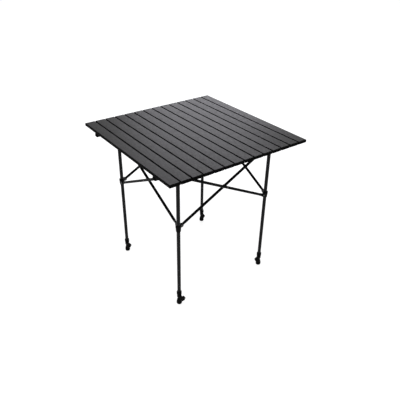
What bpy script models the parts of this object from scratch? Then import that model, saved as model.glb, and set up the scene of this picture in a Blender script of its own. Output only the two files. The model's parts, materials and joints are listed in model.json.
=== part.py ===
"""Folding camp table: a roll-up slat top on a four-legged scissor frame.

Metres, +Z up. The origin is on the floor under the middle of the table. The slats run along Y
and lie side by side along X. The two rails under them run along X.
"""
import math

import bmesh
import bpy
from mathutils import Matrix, Vector

# Fits: the gap between pieces that touch, and the play round what turns or slides
TOUCH = 0.0003
PLAY = 0.0004

# The table
TABLE_HEIGHT = 0.700
LEG_SPACING = 0.484

# The slat top
SLAT_COUNT = 14
SLAT_PITCH = 0.050
SLAT_GAP = 0.0020
SLAT_LENGTH = 0.700
SLAT_THICKNESS = 0.013
SLAT_WALL = 0.0008
SLAT_EDGE_ROUND = 0.0012
PLUG_LENGTH = 0.006
CORD_RADIUS = 0.0018
CORD_SPACING = 0.420

# The rails that carry the slats
RAIL_WIDTH = 0.018
RAIL_DEPTH = 0.015
RAIL_WALL = 0.0010
RAIL_EDGE_ROUND = 0.0010
RAIL_CAP = 0.004
RAIL_CAP_ROUND = 0.0022
RAIL_CAP_TONGUE = 0.014

# The legs and their feet
LEG_RADIUS = 0.008
LEG_WALL = 0.0010
FOOT_FLARE = 0.0044
FOOT_HEIGHT = 0.032
FOOT_HEEL = 0.0037
FOOT_HEEL_ROUND = 0.3
FOOT_BAND_HEIGHT = 0.012
FOOT_SHOULDER_DROP = 0.004
FOOT_SHOULDER_INSET = 0.002
FOOT_TRAVEL = 0.030
NECK_INSET = 0.0004
NECK_LENGTH = 0.009
POST_GRIP = 0.040
COLLAR_WALL = 0.0031
COLLAR_WAIST_WALL = 0.0020
COLLAR_HEIGHT = 0.030
COLLAR_RING = 0.014
SCREW_RADIUS = 0.0026
BOSS_WALL = 0.0028
BOSS_LENGTH = 0.0055
STEM_RADIUS = 0.0045
STEM_LENGTH = 0.007
KNOB_RADIUS = 0.012
KNOB_THICKNESS = 0.009
KNOB_LOBES = 6
KNOB_SWELL = 0.09

# The scissor braces and what they turn in
TOP_PIVOT_DROP = 0.0244
SLIDE_PIVOT_HEIGHT = 0.418
PIVOT_STANDOFF = 0.0082
BRACE_RADIUS = 0.006
BRACE_WALL = 0.0010
CROSSING_GAP = 0.004
TONGUE_THICKNESS = 0.0032
TONGUE_INSET = 0.0005
TONGUE_LENGTH = 0.012
EYE_WALL = 0.0048
RIVET_RADIUS = 0.0024
RIVET_LIP = 0.002
RIVET_HEAD = 0.0014
RIVET_CROWN = 0.7
FORK_CHEEK = 0.0030
FORK_EDGE = 0.001
HUB_WALL = 0.0040
HUB_SKIRT = 0.024
HUB_CROWN = 0.009
SLIDE_TOP_WALL = 0.0039
SLIDE_END_WALL = 0.0023
SLIDE_ABOVE = 0.010
SLIDE_BELOW = 0.018

# Facets round each kind of round piece
LEG_SIDES = 16
BRACE_SIDES = 12
PIN_SIDES = 8
FORK_SIDES = 12
FOOT_SIDES = 14

# What follows from the sizes above
SLAT_WIDTH = SLAT_PITCH - SLAT_GAP
SLAT_UNDERSIDE = TABLE_HEIGHT - SLAT_THICKNESS
RAIL_TOP = SLAT_UNDERSIDE - TOUCH
RAIL_BOTTOM = RAIL_TOP - RAIL_DEPTH
HUB_TOP = RAIL_BOTTOM - TOUCH
TOP_HALF_WIDTH = (SLAT_COUNT * SLAT_PITCH - SLAT_GAP) / 2
TOP_PIVOT_HEIGHT = HUB_TOP - TOP_PIVOT_DROP
SLIDE_PIVOT_DROP = TOP_PIVOT_HEIGHT - SLIDE_PIVOT_HEIGHT
COLLAR_BOTTOM = FOOT_HEIGHT + NECK_LENGTH
LEG_BOTTOM = COLLAR_BOTTOM
LEG_TOP = HUB_TOP - HUB_CROWN
LEG_BORE = LEG_RADIUS - LEG_WALL
LEG_SEAT = LEG_RADIUS + TOUCH
LEG_SLEEVE = LEG_RADIUS + PLAY
POST_RADIUS = LEG_BORE - PLAY
NECK_RADIUS = LEG_RADIUS - NECK_INSET
FOOT_RADIUS = LEG_RADIUS + FOOT_FLARE
FOOT_PAD_RADIUS = FOOT_RADIUS - FOOT_HEEL
COLLAR_RADIUS = LEG_SEAT + COLLAR_WALL
COLLAR_WAIST_RADIUS = LEG_SEAT + COLLAR_WAIST_WALL
SCREW_HEIGHT = COLLAR_BOTTOM + (COLLAR_HEIGHT - COLLAR_RING) / 2
SCREW_HOLE = SCREW_RADIUS + PLAY
BOSS_RADIUS = SCREW_HOLE + BOSS_WALL
BOSS_REACH = COLLAR_RADIUS + BOSS_LENGTH
HUB_RADIUS = LEG_SEAT + HUB_WALL
SLIDE_TOP_RADIUS = LEG_SLEEVE + SLIDE_TOP_WALL
SLIDE_END_RADIUS = LEG_SLEEVE + SLIDE_END_WALL
HOLE_RADIUS = RIVET_RADIUS + PLAY
RIVET_HEAD_RADIUS = RIVET_RADIUS + RIVET_LIP
EYE_RADIUS = RIVET_RADIUS + EYE_WALL
TONGUE_WIDTH = 2 * (BRACE_RADIUS - TONGUE_INSET)
BRACE_OFFSET = BRACE_RADIUS + CROSSING_GAP / 2
SLOT = TONGUE_THICKNESS + 2 * PLAY
FORK_WIDTH = SLOT + 2 * FORK_CHEEK
FORK_RADIUS = EYE_RADIUS + FORK_EDGE
PIVOT_REACH = HUB_RADIUS + PIVOT_STANDOFF
PIVOT_SPAN = LEG_SPACING - 2 * PIVOT_REACH
BRACE_LENGTH = math.hypot(PIVOT_SPAN, SLIDE_PIVOT_DROP)
BRACE_SLOPE = math.atan2(SLIDE_PIVOT_DROP, PIVOT_SPAN)

# Each corner: which way it lies from the middle, its turn about Z and its knob's heading.
# On the inner kind both top pivots are on the inner side of the leg and both slide pivots on the
# outer side. The outer kind has them the other way round, so each brace keeps to one plane.
CORNERS = {
    "front_left": {"side": (-1, -1), "turn": 0, "inner": False, "knob": -90},
    "front_right": {"side": (1, -1), "turn": 90, "inner": True, "knob": -150},
    "back_right": {"side": (1, 1), "turn": 180, "inner": False, "knob": -115},
    "back_left": {"side": (-1, 1), "turn": 270, "inner": True, "knob": -100},
}

# Each side of the frame: the corner its fold starts from, the corner it carries, the way from
# one to the other, and the way inwards
SIDES = {
    "front": ("front_left", "front_right", Vector((1, 0, 0)), Vector((0, 1, 0))),
    "left": ("front_left", "back_left", Vector((0, 1, 0)), Vector((1, 0, 0))),
    "right": ("front_right", "back_right", Vector((0, 1, 0)), Vector((-1, 0, 0))),
    "back": ("back_left", "back_right", Vector((1, 0, 0)), Vector((0, -1, 0))),
}

# A quarter turn about X, which lays a piece turned about Z along Y
ACROSS = Matrix.Rotation(math.radians(90), 4, "X")

PARTS = None
TOOLS = None


def clear_scene():
    """Remove what is open and make the two collections."""
    global PARTS, TOOLS
    for item in list(bpy.data.objects):
        bpy.data.objects.remove(item, do_unlink=True)
    PARTS = bpy.data.collections.new("folding_camp_table")
    TOOLS = bpy.data.collections.new("cutters")
    bpy.context.scene.collection.children.link(PARTS)
    bpy.context.scene.collection.children.link(TOOLS)


def finish(name, colour, roughness, metallic=0.0):
    """Make a Principled material."""
    material = bpy.data.materials.new(name)
    material.use_nodes = True
    shader = material.node_tree.nodes["Principled BSDF"]
    shader.inputs["Base Color"].default_value = (*colour, 1)
    shader.inputs["Roughness"].default_value = roughness
    shader.inputs["Metallic"].default_value = metallic
    return material


def block(low, high):
    """A box between two corners."""
    low, high = Vector(low), Vector(high)
    shape = bmesh.new()
    bmesh.ops.create_cube(shape, size=1)
    bmesh.ops.scale(shape, vec=high - low, verts=shape.verts)
    bmesh.ops.translate(shape, vec=(low + high) / 2, verts=shape.verts)
    return shape


def facing(way):
    """The turn that points Z along a way."""
    return way.to_track_quat("Z", "Y").to_matrix().to_4x4()


def rod(radius, start, end, sides, end_radius=None):
    """A closed cylinder or cone from one point to another."""
    start, end = Vector(start), Vector(end)
    run = end - start
    shape = bmesh.new()
    bmesh.ops.create_cone(
        shape, cap_ends=True, segments=sides, radius1=radius,
        radius2=radius if end_radius is None else end_radius, depth=run.length)
    place = Matrix.Translation((start + end) / 2) @ facing(run)
    bmesh.ops.transform(shape, matrix=place, verts=shape.verts)
    return shape


def round_edges(shape, chosen, width, segments=1):
    """Bevel the edges of a shape for which chosen(edge) is true."""
    edges = [edge for edge in shape.edges if chosen(edge)]
    bmesh.ops.bevel(shape, geom=edges, offset=width, segments=segments, affect="EDGES", profile=0.5)
    return shape


def runs_along(edge, axis):
    """Whether an edge runs along one of the three axes."""
    run = (edge.verts[1].co - edge.verts[0].co).normalized()
    return abs(run[axis]) > 0.99


def as_mesh(name, shape):
    """A mesh from a bmesh, which is freed."""
    mesh = bpy.data.meshes.new(name)
    shape.to_mesh(mesh)
    shape.free()
    return mesh


def guide(mesh):
    """Keep a mesh as a guide object among the cutters."""
    item = bpy.data.objects.new(mesh.name, mesh)
    item.hide_render = True
    item.display_type = "WIRE"
    TOOLS.objects.link(item)
    return item


def evaluated(item, name):
    """The mesh of an object with its modifiers worked in."""
    item.update_tag()
    bpy.context.view_layer.update()
    mesh = bpy.data.meshes.new_from_object(item.evaluated_get(bpy.context.evaluated_depsgraph_get()))
    mesh.name = name
    return mesh


def carve(name, base, steps):
    """Join shapes to a base and cut shapes from it, in order, and give the mesh."""
    body = guide(as_mesh(name + "_blank", base))
    for number, (operation, shape) in enumerate(steps, 1):
        modifier = body.modifiers.new("step_%d" % number, "BOOLEAN")
        modifier.operation = operation
        modifier.solver = "EXACT"
        modifier.object = guide(as_mesh("%s_step_%d" % (name, number), shape))
    return evaluated(body, name)


def turned(name, profile, sides):
    """Turn a profile of (radius, height) points about Z. It runs down its outer side."""
    mesh = bpy.data.meshes.new(name + "_profile")
    last = len(profile) - 1
    edges = [(at, at + 1) for at in range(last)]
    mesh.from_pydata([(radius, 0, height) for radius, height in profile], edges, [])
    item = guide(mesh)
    screw = item.modifiers.new("turn", "SCREW")
    screw.steps = sides
    screw.render_steps = sides
    screw.use_merge_vertices = True
    screw.merge_threshold = 0.00001
    return evaluated(item, name)


def as_shape(mesh, matrix=Matrix()):
    """A bmesh of a mesh, moved by a matrix."""
    shape = bmesh.new()
    shape.from_mesh(mesh)
    bmesh.ops.transform(shape, matrix=matrix, verts=shape.verts)
    return shape


class Body:
    """An empty on a joint's axis, which carries the pieces that move together."""

    def __init__(self, name, at, parent=None):
        self.at = Vector(at)
        self.empty = bpy.data.objects.new(name + "_pivot", None)
        self.empty.empty_display_size = 0.02
        PARTS.objects.link(self.empty)
        if parent:
            self.empty.parent = parent.empty
            self.empty.location = self.at - parent.at
        else:
            self.empty.location = self.at

    def carry(self, name, mesh, material, at=(0, 0, 0), turn=Matrix()):
        """Place a piece in the table's frame and parent it to this body."""
        item = bpy.data.objects.new(name, mesh)
        PARTS.objects.link(item)
        mesh.materials.clear()
        mesh.materials.append(material)
        mesh.shade_smooth()
        mesh.set_sharp_from_angle(angle=math.radians(35))
        item.parent = self.empty
        item.location = Vector(at) - self.at
        item.rotation_euler = turn.to_euler()
        return item


def leg_axis(corner, height=0.0):
    """A point on a leg's axis."""
    side = CORNERS[corner]["side"]
    return Vector((side[0] * LEG_SPACING / 2, side[1] * LEG_SPACING / 2, height))


def about_z(degrees):
    return Matrix.Rotation(math.radians(degrees), 4, "Z")


def fork_steps(inner):
    """The two forks of a hub, one towards each neighbouring leg, as join and cut steps.

    The first points along X and the second along Y, at height zero.
    """
    offset = BRACE_OFFSET if inner else -BRACE_OFFSET
    joins, cuts = [], []
    for swap in (False, True):
        def point(out, across, up, swap=swap):
            return (across, out, up) if swap else (out, across, up)

        def slab(out_low, out_high, width, up):
            ends = [point(out_low, offset - width / 2, -up), point(out_high, offset + width / 2, up)]
            return block(*ends)

        def disc(radius, width, sides):
            ends = [point(PIVOT_REACH, offset - width / 2, 0), point(PIVOT_REACH, offset + width / 2, 0)]
            return rod(radius, *ends, sides)

        joins.append(("UNION", slab(0, PIVOT_REACH, FORK_WIDTH, FORK_RADIUS)))
        joins.append(("UNION", disc(FORK_RADIUS, FORK_WIDTH, FORK_SIDES)))
        slot_floor = PIVOT_REACH - EYE_RADIUS - PLAY
        slot_reach = PIVOT_REACH + 2 * FORK_RADIUS
        cuts.append(("DIFFERENCE", slab(slot_floor, slot_reach, SLOT, 2 * FORK_RADIUS)))
        cuts.append(("DIFFERENCE", disc(HOLE_RADIUS, 2 * FORK_WIDTH, PIN_SIDES)))
    return joins, cuts


def make_hub(inner):
    """The hub on a leg's top: a cap with two forks and a flat seat for the rail."""
    base = rod(HUB_RADIUS, (0, 0, -HUB_SKIRT), (0, 0, HUB_TOP - TOP_PIVOT_HEIGHT), LEG_SIDES)
    joins, cuts = fork_steps(inner)
    socket_top = LEG_TOP + TOUCH - TOP_PIVOT_HEIGHT
    socket = rod(LEG_SEAT, (0, 0, -2 * HUB_SKIRT), (0, 0, socket_top), LEG_SIDES)
    cuts.append(("DIFFERENCE", socket))
    return carve("top_hub_inner" if inner else "top_hub_outer", base, joins + cuts)


def make_slide(inner):
    """The sleeve that slides on a leg, with two forks. It narrows downwards."""
    base = rod(SLIDE_END_RADIUS, (0, 0, -SLIDE_BELOW), (0, 0, SLIDE_ABOVE), LEG_SIDES, SLIDE_TOP_RADIUS)
    joins, cuts = fork_steps(inner)
    reach = 2 * SLIDE_BELOW
    bore = rod(LEG_SLEEVE, (0, 0, -reach), (0, 0, reach), LEG_SIDES)
    cuts.append(("DIFFERENCE", bore))
    return carve("slide_inner" if inner else "slide_outer", base, joins + cuts)


def make_rivet(name, grip, spacer=None):
    """A rivet along Z with a head at each end, and a spacer round its middle if it has one."""
    inside = grip / 2 + TOUCH
    outside = inside + RIVET_HEAD
    crown = RIVET_CROWN * RIVET_HEAD_RADIUS
    middle = []
    if spacer:
        radius, width = spacer
        middle = [(RIVET_RADIUS, width / 2), (radius, width / 2),
                  (radius, -width / 2), (RIVET_RADIUS, -width / 2)]
    profile = [(0, outside), (crown, outside), (RIVET_HEAD_RADIUS, inside), (RIVET_RADIUS, inside),
               *middle, (RIVET_RADIUS, -inside), (RIVET_HEAD_RADIUS, -inside),
               (crown, -outside), (0, -outside)]
    return turned(name, profile, PIN_SIDES)


def make_brace():
    """A brace along X from its top pivot: a tube with a flat tongue, an eye and a rivet at each end.

    The rivets are staked in the eyes, so they are one solid with the brace and turn with it.
    """
    ends = (TONGUE_LENGTH, BRACE_LENGTH - TONGUE_LENGTH)
    base = rod(BRACE_RADIUS, (ends[0], 0, 0), (ends[1], 0, 0), BRACE_SIDES)
    bore = rod(BRACE_RADIUS - BRACE_WALL, (0, 0, 0), (BRACE_LENGTH, 0, 0), BRACE_SIDES)
    steps = [("DIFFERENCE", bore)]
    half = TONGUE_THICKNESS / 2
    rivet = make_rivet("end_rivet", FORK_WIDTH)
    for eye, inside in ((0, 1), (BRACE_LENGTH, -1)):
        buried = eye + inside * 2 * TONGUE_LENGTH
        low, high = sorted((eye, buried))
        tongue = block((low, -half, -TONGUE_WIDTH / 2), (high, half, TONGUE_WIDTH / 2))
        place = Matrix.Translation((eye, 0, 0)) @ ACROSS
        steps.append(("UNION", tongue))
        steps.append(("UNION", rod(EYE_RADIUS, (eye, -half, 0), (eye, half, 0), FORK_SIDES)))
        steps.append(("UNION", as_shape(rivet, place)))
    middle = BRACE_LENGTH / 2
    reach = 2 * BRACE_RADIUS
    steps.append(("DIFFERENCE", rod(HOLE_RADIUS, (middle, -reach, 0), (middle, reach, 0), PIN_SIDES)))
    return carve("brace", base, steps)


def make_leg():
    """A leg tube from the collar to the hub, with a hole for the clamp screw towards +X."""
    base = rod(LEG_RADIUS, (0, 0, LEG_BOTTOM), (0, 0, LEG_TOP), LEG_SIDES)
    bore = rod(LEG_BORE, (0, 0, 0), (0, 0, TABLE_HEIGHT), LEG_SIDES)
    hole = rod(SCREW_HOLE, (0, 0, SCREW_HEIGHT), (BOSS_REACH, 0, SCREW_HEIGHT), PIN_SIDES)
    return carve("leg_tube", base, [("DIFFERENCE", bore), ("DIFFERENCE", hole)])


def make_collar():
    """The clamp collar at the leg's end, with the boss that the clamp screw turns in."""
    top = COLLAR_BOTTOM + COLLAR_HEIGHT
    waist = top - COLLAR_RING
    profile = [(0, top), (COLLAR_RADIUS, top), (COLLAR_RADIUS, waist), (COLLAR_WAIST_RADIUS, waist),
               (COLLAR_WAIST_RADIUS, COLLAR_BOTTOM), (0, COLLAR_BOTTOM)]
    blank = turned("collar_outside", profile, LEG_SIDES)
    height = SCREW_HEIGHT
    boss = rod(BOSS_RADIUS, (0, 0, height), (BOSS_REACH, 0, height), FORK_SIDES)
    bore = rod(LEG_SEAT, (0, 0, 0), (0, 0, 2 * top), LEG_SIDES)
    screw_hole = rod(SCREW_HOLE, (0, 0, height), (2 * BOSS_REACH, 0, height), PIN_SIDES)
    steps = [("UNION", boss), ("DIFFERENCE", bore), ("DIFFERENCE", screw_hole)]
    return carve("collar", as_shape(blank), steps)


def make_foot():
    """A foot: a post inside the leg, a neck that stops against the leg's end, a round shoe."""
    neck_top = COLLAR_BOTTOM - TOUCH
    post_top = neck_top + POST_GRIP + FOOT_TRAVEL
    shoulder = FOOT_HEIGHT - FOOT_SHOULDER_DROP
    heel = FOOT_HEEL * FOOT_HEEL_ROUND
    profile = [(0, post_top), (POST_RADIUS, post_top), (POST_RADIUS, neck_top),
               (NECK_RADIUS, neck_top), (NECK_RADIUS, FOOT_HEIGHT),
               (FOOT_RADIUS - FOOT_SHOULDER_INSET, shoulder), (FOOT_RADIUS, FOOT_BAND_HEIGHT),
               (FOOT_RADIUS, FOOT_HEEL), (FOOT_RADIUS - heel, heel),
               (FOOT_PAD_RADIUS, 0), (0, 0)]
    return turned("foot", profile, FOOT_SIDES)


def make_knob():
    """A clamp knob along +X from the leg's axis: its screw, its stem and its lobed head."""
    start = BOSS_REACH + TOUCH
    head = start + STEM_LENGTH
    disc = rod(KNOB_RADIUS, (head, 0, 0), (head + KNOB_THICKNESS, 0, 0), 4 * KNOB_LOBES)
    for vert in disc.verts:
        swell = 1 + KNOB_SWELL * math.cos(KNOB_LOBES * math.atan2(vert.co.z, vert.co.y))
        vert.co.y *= swell
        vert.co.z *= swell
    stem = rod(STEM_RADIUS, (start, 0, 0), (head + KNOB_THICKNESS / 2, 0, 0), FORK_SIDES)
    screw = rod(SCREW_RADIUS, (POST_RADIUS + TOUCH, 0, 0), (head, 0, 0), PIN_SIDES)
    return carve("knob", disc, [("UNION", stem), ("UNION", screw)])


def make_slat():
    """A slat along Y: a hollow extrusion closed at its ends, with cord holes in its long sides."""
    half = SLAT_WIDTH / 2
    end = SLAT_LENGTH / 2
    skin = block((-half, -end, -SLAT_THICKNESS), (half, end, 0))
    round_edges(skin, lambda edge: True, SLAT_EDGE_ROUND)
    wall, plug = half - SLAT_WALL, end - PLUG_LENGTH
    hollow = block((-wall, -plug, -SLAT_THICKNESS + SLAT_WALL), (wall, plug, -SLAT_WALL))
    steps = [("DIFFERENCE", hollow)]
    middle = -SLAT_THICKNESS / 2
    for side in (-1, 1):
        along = side * CORD_SPACING / 2
        hole = rod(CORD_RADIUS + PLAY, (-SLAT_PITCH, along, middle), (SLAT_PITCH, along, middle), 8)
        steps.append(("DIFFERENCE", hole))
    return carve("slat", skin, steps)


def make_rail():
    """A rail along X: a rectangular tube, open at its ends."""
    end = TOP_HALF_WIDTH - RAIL_CAP
    base = block((-end, -RAIL_WIDTH / 2, -RAIL_DEPTH), (end, RAIL_WIDTH / 2, 0))
    round_edges(base, lambda edge: runs_along(edge, 0), RAIL_EDGE_ROUND)
    inside = RAIL_WIDTH / 2 - RAIL_WALL
    hollow = block((-2 * end, -inside, -RAIL_DEPTH + RAIL_WALL), (2 * end, inside, -RAIL_WALL))
    return carve("rail", base, [("DIFFERENCE", hollow)])


def make_rail_cap():
    """The cap in a rail's +X end."""
    end = TOP_HALF_WIDTH - RAIL_CAP
    flange = block((end + TOUCH, -RAIL_WIDTH / 2, -RAIL_DEPTH), (TOP_HALF_WIDTH, RAIL_WIDTH / 2, 0))
    outer = TOP_HALF_WIDTH - TOUCH
    round_edges(flange, lambda edge: min(vert.co.x for vert in edge.verts) > outer, RAIL_CAP_ROUND)
    reach = RAIL_WIDTH / 2 - RAIL_WALL - TOUCH
    low, high = -RAIL_DEPTH + RAIL_WALL + TOUCH, -RAIL_WALL - TOUCH
    tongue = block((end - RAIL_CAP_TONGUE, -reach, low), (end + RAIL_CAP / 2, reach, high))
    return carve("rail_cap", flange, [("UNION", tongue)])


def build_feet(bodies, black, moulded):
    """The leg, its hub and collar on each corner, then the foot and knob that move on it."""
    leg, collar, foot, knob = make_leg(), make_collar(), make_foot(), make_knob()
    hubs = {True: make_hub(True), False: make_hub(False)}
    for corner, facts in CORNERS.items():
        body = bodies["leg_" + corner]
        base = leg_axis(corner)
        heading = about_z(facts["knob"])
        body.carry("leg_tube_" + corner, leg, black, base, heading)
        body.carry("foot_collar_" + corner, collar, moulded["collar"], base, heading)
        hub = hubs[facts["inner"]]
        at = leg_axis(corner, TOP_PIVOT_HEIGHT)
        body.carry("top_hub_" + corner, hub, moulded["hub"], at, about_z(facts["turn"]))
        lower = Body("foot_" + corner, base, body)
        lower.carry("foot_" + corner, foot, moulded["foot"], base)
        at = leg_axis(corner, SCREW_HEIGHT)
        clamp = Body("knob_" + corner, at, body)
        clamp.carry("knob_" + corner, knob, moulded["knob"], at, heading)


def brace_ends(side, inner):
    """The top pivot and the slide pivot of one brace, and the way from one to the other."""
    first, second, along, inwards = SIDES[side]
    from_first = CORNERS[first]["inner"] == inner
    top, bottom = (first, second) if from_first else (second, first)
    way = along if from_first else -along
    shift = inwards * (BRACE_OFFSET if inner else -BRACE_OFFSET)
    start = leg_axis(top, TOP_PIVOT_HEIGHT) + way * PIVOT_REACH + shift
    end = leg_axis(bottom, SLIDE_PIVOT_HEIGHT) - way * PIVOT_REACH + shift
    return start, end, way


def brace_name(side, inner):
    return "brace_%s_%s" % (side, "inner" if inner else "outer")


def build_frame(steel, black, moulded):
    """The frame, built out from the front left leg the way its folding joints go."""
    bodies = {"leg_front_left": Body("leg_front_left", leg_axis("front_left"))}
    brace = make_brace()
    spacer = (2 * RIVET_RADIUS, 2 * (BRACE_OFFSET - BRACE_RADIUS - TOUCH))
    pin = make_rivet("centre_pin", 2 * (BRACE_OFFSET + BRACE_RADIUS), spacer)

    for side, (first, second, along, inwards) in SIDES.items():
        hung_kind = CORNERS[first]["inner"]
        # The brace hung on the first leg, then the one that crosses it, then the second leg
        for inner in (hung_kind, not hung_kind):
            start, end, way = brace_ends(side, inner)
            name = brace_name(side, inner)
            if inner == hung_kind:
                body = Body(name, start, bodies["leg_" + first])
                centre = (start + end) / 2 - inwards * (BRACE_OFFSET if inner else -BRACE_OFFSET)
                body.carry("centre_pin_" + side, pin, steel, centre, facing(inwards))
            else:
                body = Body(name, centre, bodies[brace_name(side, hung_kind)])
            bodies[name] = body
            heading = math.degrees(math.atan2(way.y, way.x))
            slope = Matrix.Rotation(BRACE_SLOPE, 4, "Y")
            body.carry(name, brace, black, start, about_z(heading) @ slope)
        if "leg_" + second not in bodies:
            crossing = bodies[brace_name(side, not hung_kind)]
            top_pivot = brace_ends(side, not hung_kind)[0]
            bodies["leg_" + second] = Body("leg_" + second, top_pivot, crossing)

    slides = {True: make_slide(True), False: make_slide(False)}
    carriers = {"front_left": ("front", True), "front_right": ("front", False),
                "back_left": ("left", False), "back_right": ("right", True)}
    for corner, (side, inner) in carriers.items():
        pivot = brace_ends(side, inner)[1]
        body = Body("slide_hub_" + corner, pivot, bodies[brace_name(side, inner)])
        facts = CORNERS[corner]
        at = leg_axis(corner, SLIDE_PIVOT_HEIGHT)
        mesh = slides[not facts["inner"]]
        body.carry("slide_hub_" + corner, mesh, moulded["slide"], at, about_z(facts["turn"]))
    build_feet(bodies, black, moulded)
    return bodies


def build_top(root, slat_metal, rubber, black, moulded):
    """The rails with their caps, and the chain of slats that rolls up from slat 1."""
    rails = Body("rails", (0, 0, RAIL_TOP), root)
    rail, cap = make_rail(), make_rail_cap()
    for name, side in (("front", -1), ("back", 1)):
        at = (0, side * LEG_SPACING / 2, RAIL_TOP)
        rails.carry("rail_" + name, rail, black, at)
        rails.carry("rail_cap_%s_right" % name, cap, moulded["cap"], at)
        rails.carry("rail_cap_%s_left" % name, cap, moulded["cap"], at, about_z(180))

    slat = make_slat()
    before = rails
    first_joint = -SLAT_COUNT * SLAT_PITCH / 2
    for number in range(SLAT_COUNT):
        name = "slat_%02d" % (number + 1)
        middle = first_joint + (number + 0.5) * SLAT_PITCH
        joint = (first_joint + number * SLAT_PITCH, 0, TABLE_HEIGHT)
        before = Body(name, joint, before)
        before.carry(name, slat, slat_metal, (middle, 0, TABLE_HEIGHT))
        if number == 0:
            first = before

    reach = TOP_HALF_WIDTH - SLAT_WIDTH / 2
    cord = as_mesh("elastic_cord", rod(CORD_RADIUS, (-reach, 0, 0), (reach, 0, 0), 8))
    for name, side in (("front", -1), ("back", 1)):
        at = (0, side * CORD_SPACING / 2, TABLE_HEIGHT - SLAT_THICKNESS / 2)
        first.carry("elastic_cord_" + name, cord, rubber, at)


def build_table():
    clear_scene()
    black = finish("black_tube", (0.035, 0.035, 0.038), 0.42, 0.3)
    steel = finish("black_rivet", (0.05, 0.05, 0.05), 0.35, 0.8)
    slat_metal = finish("slat_metal", (0.20, 0.20, 0.21), 0.45, 0.6)
    rubber = finish("elastic_cord", (0.02, 0.02, 0.02), 0.8)
    moulded = {}
    for name in ("hub", "slide", "collar", "foot", "knob", "cap"):
        moulded[name] = finish(name + "_plastic", (0.02, 0.02, 0.021), 0.5)
    bodies = build_frame(steel, black, moulded)
    build_top(bodies["leg_front_left"], slat_metal, rubber, black, moulded)


build_table()
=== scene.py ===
# %% [markdown]
# # A folding camp table with a roll-up slat top
# This lesson dresses a finished CAD model of a camp table. The CAD gives every piece its place
# and its motion. Here each piece gets its true rounded shape and a finish worked out in nodes.
# The first cell loads the CAD model as a frame that never moves, and finds from its record the
# body that each node moves with.

# %% Load the frame
import json
import math

import bmesh
import bpy
from mathutils import Matrix, Vector


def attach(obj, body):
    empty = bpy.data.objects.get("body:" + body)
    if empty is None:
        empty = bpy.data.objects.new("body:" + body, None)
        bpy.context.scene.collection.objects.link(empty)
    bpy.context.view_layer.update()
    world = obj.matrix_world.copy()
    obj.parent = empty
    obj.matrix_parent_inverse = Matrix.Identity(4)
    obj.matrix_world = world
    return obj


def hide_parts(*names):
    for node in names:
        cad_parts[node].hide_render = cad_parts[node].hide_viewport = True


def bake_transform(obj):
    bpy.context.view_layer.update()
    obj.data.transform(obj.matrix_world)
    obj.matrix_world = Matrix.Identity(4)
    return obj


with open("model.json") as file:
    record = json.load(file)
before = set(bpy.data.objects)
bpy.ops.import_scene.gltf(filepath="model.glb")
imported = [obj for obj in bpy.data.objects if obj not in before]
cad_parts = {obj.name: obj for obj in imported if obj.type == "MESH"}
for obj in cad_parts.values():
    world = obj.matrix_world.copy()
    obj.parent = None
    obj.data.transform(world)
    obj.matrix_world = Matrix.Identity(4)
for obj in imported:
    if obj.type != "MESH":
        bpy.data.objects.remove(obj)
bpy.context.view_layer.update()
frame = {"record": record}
BODY_OF = {}
for body_name, body_nodes in frame["record"]["behaviour"]["bodies"].items():
    for node_name in body_nodes:
        BODY_OF[node_name] = body_name

# %% [markdown]
# ## The sizes
# The pieces are made again at the sizes the CAD has, in metres. The origin is on the floor under
# the middle of the table. The slats run along Y and the rails along X. Each corner is told by its
# two signs. The forks of a corner's hubs lie inside the leg's line or outside it, so that crossing
# braces never meet.

# %% Sizes of the table
TABLE_HEIGHT = 0.700
LEG_SPACING = 0.484
SLAT_COUNT = 14
SLAT_PITCH = 0.050
SLAT_GAP = 0.0020
SLAT_LENGTH = 0.700
SLAT_THICKNESS = 0.013
RAIL_WIDTH = 0.018
RAIL_DEPTH = 0.015
TOUCH = 0.0003
HUB_TOP = TABLE_HEIGHT - SLAT_THICKNESS - RAIL_DEPTH - 2 * TOUCH
PIVOT_DROP = 0.0244
TOP_PIVOT = HUB_TOP - PIVOT_DROP
SLIDE_PIVOT = 0.418
PIVOT_REACH = 0.0205
BRACE_OFFSET = 0.008
PIVOT_SPAN = LEG_SPACING - 2 * PIVOT_REACH
BRACE_LENGTH = math.hypot(PIVOT_SPAN, TOP_PIVOT - SLIDE_PIVOT)
BRACE_SLOPE = math.atan2(TOP_PIVOT - SLIDE_PIVOT, PIVOT_SPAN)

CORNERS = {
    "front_left": {"side": (-1, -1), "turn": 0, "inner": False, "knob": -90},
    "front_right": {"side": (1, -1), "turn": 90, "inner": True, "knob": -150},
    "back_right": {"side": (1, 1), "turn": 180, "inner": False, "knob": -115},
    "back_left": {"side": (-1, 1), "turn": 270, "inner": True, "knob": -100},
}
SIDES = {
    "front": ("front_left", "front_right", Vector((1, 0, 0)), Vector((0, 1, 0))),
    "left": ("front_left", "back_left", Vector((0, 1, 0)), Vector((1, 0, 0))),
    "right": ("front_right", "back_right", Vector((0, 1, 0)), Vector((-1, 0, 0))),
    "back": ("back_left", "back_right", Vector((1, 0, 0)), Vector((0, -1, 0))),
}
print("brace %.1f mm long, sloping %.1f degrees"
      % (BRACE_LENGTH * 1000, math.degrees(BRACE_SLOPE)))

# %% [markdown]
# ## The camera
# A lens is chosen by its focal length in picture pixels. It is turned into millimetres on
# Blender's 36 mm sensor for a picture 400 pixels wide. The camera is placed by the direction it
# looks from, so its three axes are worked out and written into its matrix.

# %% Camera
IMAGE_WIDTH = 400
SENSOR = 36
FOCAL_PIXELS = 461.15
AZIMUTH = math.radians(-36.82)
ELEVATION = math.radians(31.41)
ROLL = math.radians(0.92)
DISTANCE = 2.2145
AIM_HEIGHT = 0.3451
AIM_ASIDE = 0.038


def new_object(name, data):
    """An object with this data, linked to the scene."""
    made = bpy.data.objects.new(name, data)
    bpy.context.scene.collection.objects.link(made)
    return made


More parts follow.
